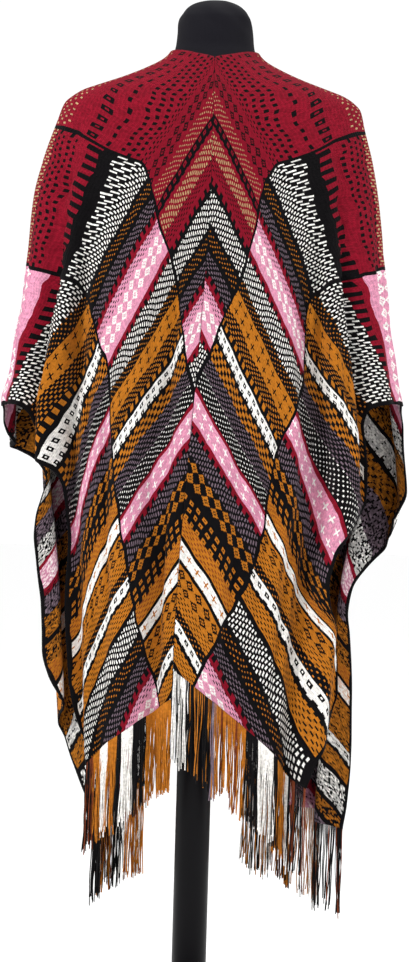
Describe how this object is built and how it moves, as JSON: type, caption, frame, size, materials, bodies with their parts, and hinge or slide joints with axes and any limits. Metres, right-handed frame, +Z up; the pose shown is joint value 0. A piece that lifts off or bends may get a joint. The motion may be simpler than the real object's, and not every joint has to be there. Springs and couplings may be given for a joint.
{
  "type": "knitted fringed poncho wrap on a limbless dress form",
  "caption": "Open-front knitted poncho of two panels with fringed hems, draped over the shoulders of a black limbless dress form on a pole stand.",
  "frame": {"origin": "middle of the base's underside, on the pole's axis", "axes": "+Z up along the pole, -Y the way the garment's front faces, +X the garment's left side"},
  "size_m": [0.5905, 0.38, 1.54],
  "materials": {
    "knit": "striped knit in red, black, white, pink, grey and ochre yarns, matt",
    "yarn": "loose twisted yarn ends in ochre, white and black, matt",
    "form_jersey": "black stretch jersey, matt",
    "stand_paint": "satin black paint"
  },
  "bodies": {
    "root": {"panel_left": "knit", "panel_right": "knit", "fringe_back_left": "yarn", "fringe_back_right": "yarn", "fringe_front_left": "yarn", "fringe_front_right": "yarn", "dress_form": "form_jersey", "stand_pole": "stand_paint", "stand_base": "stand_paint"}
  },
  "joints": []
}
